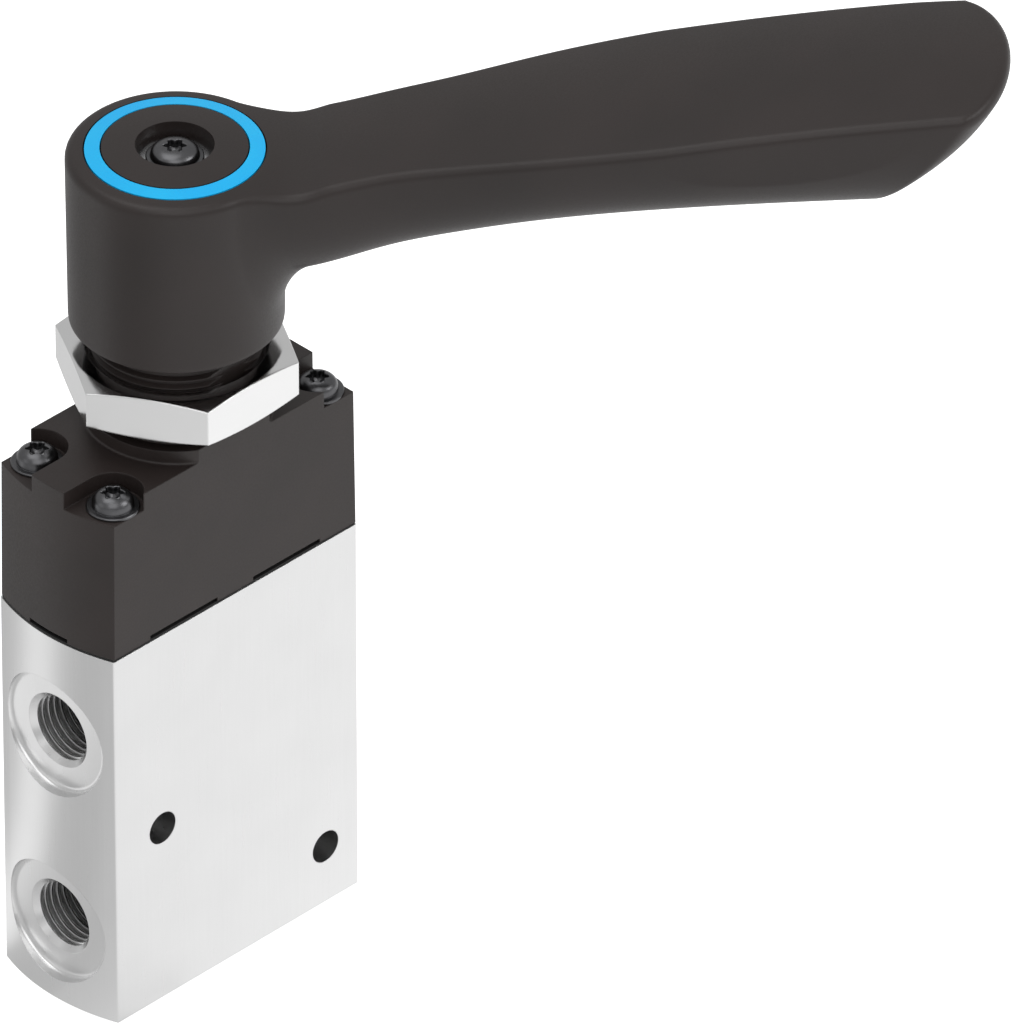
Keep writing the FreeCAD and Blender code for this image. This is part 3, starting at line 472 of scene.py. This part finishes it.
def leverField(s, v, z):
    # Signed distance, below zero inside, and its gradient. The hub is a cone on a flat foot. The
    # arm is |v|/w and depth/D, each to the section's power, adding up to one. The tip is a half
    # ellipse in plan, a little skewed, that is set back further down. The top is a dome of one
    # radius across that follows the arm's line, and passes smoothly into the hub's ball.
    form, ball = leverForm, leverForm["domeRadius"]
    none = np.zeros_like(s)
    away = np.hypot(s, v) + 1e-9
    hub = asDistance(away - form["hubRadius"] - form["hubFlare"] * (z - form["foot"]),
                     (s / away, v / away, none - form["hubFlare"]))
    hub = roundedJoin(hub, (form["foot"] - z, np.array([none, none, none - 1])),
                      form["footRound"], -1)

    (wide, rise, thick), (dWide, dRise, dThick) = spine(s)
    bow = np.sqrt(ball ** 2 - wide ** 2)
    edge, depth = form["crown"] + rise - ball + bow, thick - ball + bow
    dBow = -wide * dWide / bow
    power = form["sectionPower"]
    a, b = np.abs(v) / wide, np.maximum(edge - z, 0) / depth
    n = (a ** power + b ** power) ** (1 / power) + 1e-9
    wa, wb = (a / n) ** (power - 1), (b / n) ** (power - 1)
    fall = (dRise + dBow) * (b > 0) - b * (dThick + dBow)
    arm = asDistance(n - 1, (-wa * a * dWide / wide + wb * fall / depth, wa * np.sign(v) / wide,
                             -wb / depth))
    arm = roundedJoin(arm, (form["armStart"] - s, np.array([none - 1, none, none])),
                      form["armStartRound"], -1)

    (back,), (dBack,) = setback(form["tipLevel"] - z)
    skew, length, half = form["tipSkew"], form["tipLength"], form["tipHalfWidth"]
    ahead = np.maximum(s - form["tipReach"] + length + back - skew * v, 0) / length
    across = np.abs(v) / half
    m = np.hypot(ahead, across) + 1e-9
    tip = asDistance(m - 1, (ahead / m / length,
                             across / m * np.sign(v) / half - skew * ahead / m / length,
                             -dBack * ahead / m / length))
    body = roundedJoin(hub, roundedJoin(arm, tip, form["tipRound"], -1), form["rootRound"], 1)

    run = form["blendTo"] - form["blendFrom"]
    t = np.clip((s - form["blendFrom"]) / run, 0, 1)
    share, dShare = t * t * (3 - 2 * t), 6 * t * (1 - t) / run
    domeBow = np.sqrt(np.maximum(ball ** 2 - s ** 2 - v ** 2, 1))
    armBow = np.sqrt(ball ** 2 - v ** 2)
    slopeS = (-(1 - share) * s / domeBow + share * dRise
              + dShare * (rise + armBow - domeBow))
    slopeV = -(1 - share) * v / domeBow - share * v / armBow
    height = form["crown"] - ball + (1 - share) * domeBow + share * (rise + armBow)
    top = asDistance(z - height, (-slopeS, -slopeV, none + 1))
    return roundedJoin(body, top, form["edgeRound"], -1)


def leverRows():
    # The path through the lever: the foot's cap, the hub, a turn round the elbow under the
    # arm's root, the arm and the tip's cap. Each row is a centre in the plane of symmetry, the
    # direction away from the elbow, and the tilt of the row's rays towards an axis.
    form, (elbowS, elbowZ) = leverMesh, leverMesh["elbow"]
    capTilt = np.radians(np.r_[np.linspace(90, form["footTilt"], form["footRows"])[:-1],
                               np.linspace(form["footTilt"], 0, form["footRows"])[:-1]])
    down = np.linspace(form["footFan"], elbowZ, form["hubRows"])[:-1]
    turn = np.radians(np.linspace(0, 90, form["elbowRows"]))
    along = np.linspace(elbowS, form["tipFan"], form["armRows"])[1:]
    tipTilt = np.radians(np.linspace(0, 90, form["tipRows"]))[1:]
    (_, rise, thick), _ = spine(np.r_[elbowS, along])
    middle = leverForm["crown"] + rise - thick / 2
    reach = elbowS + (middle[0] - elbowZ - elbowS) * turn / turn[-1]
    parts = [
        (0 * capTilt, 0 * capTilt + form["footFan"], 0 * capTilt - 1, 0 * capTilt, capTilt, 0, -1),
        (0 * down, down, 0 * down - 1, 0 * down, 0 * down, 0, -1),
        (elbowS - reach * np.cos(turn), elbowZ + reach * np.sin(turn), -np.cos(turn),
         np.sin(turn), 0 * turn, 0, 0),
        (along, middle[1:], 0 * along, 0 * along + 1, 0 * along, 0, 0),
        (0 * tipTilt + along[-1], 0 * tipTilt + middle[-1], 0 * tipTilt, 0 * tipTilt + 1,
         tipTilt, 1, 0),
    ]
    return [np.concatenate([np.broadcast_to(part[i], part[0].shape) for part in parts])
            for i in range(7)]


def leverPoints(angles):
    # Points where rays from each row's centre, at angles round the path, leave the lever. They
    # step by most of the distance that is left, and the crossing is then halved in.
    form = leverMesh
    centreS, centreZ, outS, outZ, tilt, axisS, axisZ = [row[:, None] for row in leverRows()]
    ray = np.array([np.cos(tilt) * np.cos(angles) * outS + np.sin(tilt) * axisS,
                    np.cos(tilt) * np.sin(angles),
                    np.cos(tilt) * np.cos(angles) * outZ + np.sin(tilt) * axisZ])
    start = np.array([centreS + 0 * angles, 0 * angles, centreZ + 0 * angles])
    low, high = np.zeros(angles.shape), np.zeros(angles.shape)
    going = np.ones(angles.shape, bool)
    for _ in range(form["steps"]):
        distance = leverField(*(start + ray * high))[0]
        going &= distance < 0
        low = np.where(going, high, low)
        step = np.maximum(-form["stepShare"] * distance, form["leastStep"])
        high = np.where(going, high + step, high)
    for _ in range(form["halvings"]):
        half = (low + high) / 2
        inside = leverField(*(start + ray * half))[0] < 0
        low, high = np.where(inside, half, low), np.where(inside, high, half)
    return start + ray * (low + high) / 2


def leverSkin():
    # A first look along even angles gives the length and the turning of each row's outline. The
    # columns are then spread so that each has the same share of both, which crowds them into
    # the rounded edges.
    form, rows = leverMesh, len(leverRows()[0])
    fine = np.linspace(0, 2 * np.pi, form["looks"])
    points = leverPoints(np.broadcast_to(fine, (rows, len(fine))))
    normals = leverField(*points)[1]
    length = np.linalg.norm(np.diff(points, axis=2), axis=0)
    turning = np.linalg.norm(np.diff(normals, axis=2), axis=0)
    weight = length + form["turningWeight"] * turning + form["leastWeight"]
    weight = (weight + weight[:, ::-1]) / 2
    total = np.cumsum(np.pad(weight, ((0, 0), (1, 0))), axis=1)
    total = total / total[:, -1:]
    side = form["evenRows"]
    around = np.pad(total, ((side, side), (0, 0)), mode="edge")
    total = sum(around[i:i + rows] for i in range(2 * side + 1)) / (2 * side + 1)
    shares = np.arange(form["columns"]) / form["columns"]
    return leverPoints(np.array([np.interp(shares, row, fine) for row in total]))


def closedTube(grid, columns):
    # Faces of a grid that closes round its columns and ends in a point at both ends.
    rows = grid.shape[0]
    inner = grid[1:-1].reshape(-1, 3)
    number = np.arange((rows - 2) * columns).reshape(rows - 2, columns)
    ahead = np.roll(number, -1, axis=1)
    quads = np.stack([number[:-1], ahead[:-1], ahead[1:], number[1:]], -1).reshape(-1, 4)
    first, last = len(inner), len(inner) + 1
    low = np.stack([np.full(columns, first), ahead[0], number[0]], -1)
    high = np.stack([np.full(columns, last), number[-1], ahead[-1]], -1)
    return (np.vstack([inner, grid[0, :1], grid[-1, :1]]),
            quads.tolist() + low.tolist() + high.tolist())


def newPiece(name, points, faces, finish):
    # a mesh object at the origin from points in mm, with its faces turned outwards
    mesh = bpy.data.meshes.new(name)
    mesh.from_pydata((np.asarray(points) * mm).tolist(), [], faces)
    work = bmesh.new()
    work.from_mesh(mesh)
    bmesh.ops.recalc_face_normals(work, faces=work.faces)
    work.to_mesh(mesh)
    work.free()
    mesh.materials.append(finish)
    piece = bpy.data.objects.new(name, mesh)
    bpy.context.scene.collection.objects.link(piece)
    return piece


def prism(sides, radius, low, high):
    # An upright prism: its two rings of corners at even angles, and the faces between them.
    angle = 2 * np.pi * np.arange(sides) / sides
    ring = radius * np.stack([np.cos(angle), np.sin(angle), 0 * angle], -1)
    number = np.arange(sides)
    ahead = np.roll(number, -1)
    side = np.stack([number, ahead, ahead + sides, number + sides], -1)
    return (np.vstack([ring + (0, 0, low), ring + (0, 0, high)]),
            side.tolist() + [number[::-1].tolist(), (number + sides).tolist()])


def turnedRing(inner, outer, low, high, sides=160):
    # A square-edged ring: its four corners carried round the axis at even angles.
    angle = 2 * np.pi * np.arange(sides) / sides
    corners = np.array([(inner, low), (outer, low), (outer, high), (inner, high)], float)
    points = np.stack([np.cos(angle)[:, None] * corners[:, 0],
                       np.sin(angle)[:, None] * corners[:, 0],
                       0 * angle[:, None] + corners[:, 1]], -1).reshape(-1, 3)
    number = np.arange(sides * 4).reshape(sides, 4)
    ahead = np.roll(number, -1, axis=0)
    right, rightAhead = np.roll(number, -1, axis=1), np.roll(ahead, -1, axis=1)
    return points, np.stack([number, right, rightAhead, ahead], -1).reshape(-1, 4).tolist()


def cutAway(piece, cutters):
    # what each cutter overlaps is taken off the piece
    for points, faces in cutters:
        cutter = newPiece("cutter", points, faces, piece.data.materials[0])
        modifier = piece.modifiers.new("cut", "BOOLEAN")
        modifier.operation, modifier.solver = "DIFFERENCE", "MANIFOLD"
        modifier.object = cutter
        graph = bpy.context.evaluated_depsgraph_get()
        shaped = bpy.data.meshes.new_from_object(piece.evaluated_get(graph))
        piece.modifiers.clear()
        old, piece.data = piece.data, shaped
        bpy.data.objects.remove(cutter)
        bpy.data.meshes.remove(old)


leverCuts = {
    # in mm: (inner radius, outer radius, bottom, top) of the ring's groove and of the hollow
    # round the hub's core, and (sides, corner radius, bottom, top) of the insert's seat and the
    # screw's well
    "grooves": [(11.74, 14.66, 150.65, 156), (10.3, 15.1, 119, 144.15)],
    "wells": [(6, 8.683, 119, 149.35), (128, 6.35, 149.33, 156)],
}


def buildLever(cuts):
    skin = leverSkin()
    points, faces = closedTube(np.moveaxis(skin, 0, -1), leverMesh["columns"])
    piece = newPiece("leverBody", points, faces, finishes["mouldedNylonLever"])
    cutAway(piece, [turnedRing(*groove) for groove in cuts["grooves"]]
            + [prism(*well) for well in cuts["wells"]])
    c = math.sqrt(0.5)        # the arm at rest points halfway between +X and -Y
    place = np.empty(len(piece.data.vertices) * 3)
    piece.data.vertices.foreach_get("co", place)
    place = place.reshape(-1, 3) @ np.array([[c, -c, 0], [c, c, 0], [0, 0, 1]])
    piece.data.vertices.foreach_set("co", place.ravel())
    piece.data.shade_smooth()
    piece.data.set_sharp_from_angle(angle=math.radians(leverMesh["sharpFrom"]))
    piece.data.update()
    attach(piece, "lever")
    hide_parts("lever")
    return piece


lever = buildLever(leverCuts)
print("lever in place,", len(lever.data.polygons), "faces")


screwForm = {
    # in mm: flange thickness and how far its lower and upper edge are broken, shank radius and
    # the length of its pointed end, and the power that makes the dome's sides steep and its
    # top flat
    "flange": 0.5, "lowerEdge": 0.08, "upperEdge": 0.15, "shank": 1.95, "point": 0.8,
    "domePower": 2.5,
    # the star recess in mm: its depth, middle radius, the swing of its lobes and their turn in
    # degrees, how far outside the star the dome ends, two steps over the rim (out from the
    # star, down from the dome), how far inside the star its wall ends, and what the floor
    # falls by halfway in and at the axis
    "recess": 1.5, "star": 1.66, "lobes": 0.28, "turn": 15, "domeEnd": 0.08,
    "rim": [(0, 0.04), (-0.06, 0.14)], "wallEnd": 0.1, "floorFall": (0.2, 0.5),
    # columns round the axis, rows up the dome, the share of a quarter turn at which the rows
    # begin, and the angle in degrees from which an edge is drawn sharp
    "columns": 96, "domeRows": 18, "firstRow": 0.06, "sharpFrom": 40,
    # flange radius, dome radius, dome height, length, height of the seat, places of the axes
    "coverScrews": (4.35, 3.45, 2.6, 35, 97.95,
                    [(x, y) for x in (-22.85, 22.85) for y in (-8.65, 8.65)]),
    "leverScrew": (4.70, 4.0, 2.0, 16, 150.15, [(0, 0)]),
}


def screwSkin(form, flange, dome, height, length):
    # A profile carried round the axis. Below it is a shank and a flange. The dome is
    # (r/R) and (z/H) to one power, adding up to one. Its rows pass from the circle of its foot
    # to the star's outline, a circle whose radius swings six times, and then down the recess.
    columns, power = form["columns"], form["domePower"]
    angle = 2 * np.pi * np.arange(columns) / columns
    star = form["star"] + form["lobes"] * np.cos(6 * (angle - np.radians(form["turn"])))
    shank, point, thick = form["shank"], form["point"], form["flange"]
    lower, upper = form["lowerEdge"], form["upperEdge"]
    low = np.array([(0, -length), (shank - point, -length), (shank, point - length), (shank, 0),
                    (flange - lower, 0), (flange, lower), (flange, thick - upper),
                    (flange - upper, thick), (dome, thick)])
    share = np.sin(np.linspace(form["firstRow"], 1, form["domeRows"]) * np.pi / 2)[:, None]
    radius = np.vstack([np.repeat(low[:, :1], columns, 1),
                        dome + (star + form["domeEnd"] - dome) * share])
    bow = np.maximum(1 - (radius[len(low):] / dome) ** power, 0) ** (1 / power)
    level = np.vstack([np.repeat(low[:, 1:], columns, 1), thick + height * bow])
    floor = thick + height - form["recess"] + 0 * star
    (outer, outerDrop), (inner, innerDrop) = form["rim"]
    halfway, middle = form["floorFall"]
    radius = np.vstack([radius, star + outer, star + inner, star - form["wallEnd"], 0.5 * star,
                        0 * star])
    level = np.vstack([level, level[-1] - outerDrop, level[-1] - innerDrop, floor,
                       floor - halfway, floor - middle])
    return np.stack([radius * np.cos(angle), radius * np.sin(angle), level], -1)


def buildScrews(name, body, node):
    # one screw's grid, set down at each axis
    flange, dome, height, length, seat, places = screwForm[name]
    grid = screwSkin(screwForm, flange, dome, height, length)
    points, faces = closedTube(grid, grid.shape[1])
    every = np.vstack([points + (x, y, seat) for x, y in places])
    count = len(points)
    everyFace = [[i + k * count for i in face] for k in range(len(places)) for face in faces]
    piece = newPiece(name, every, everyFace, finishes["burnishedScrewSteel"])
    piece.data.shade_smooth()
    piece.data.set_sharp_from_angle(angle=math.radians(screwForm["sharpFrom"]))
    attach(piece, body)
    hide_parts(node)


buildScrews("coverScrews", "valve", "cover_screws")
buildScrews("leverScrew", "lever", "lever_screw")
print("screws in place")
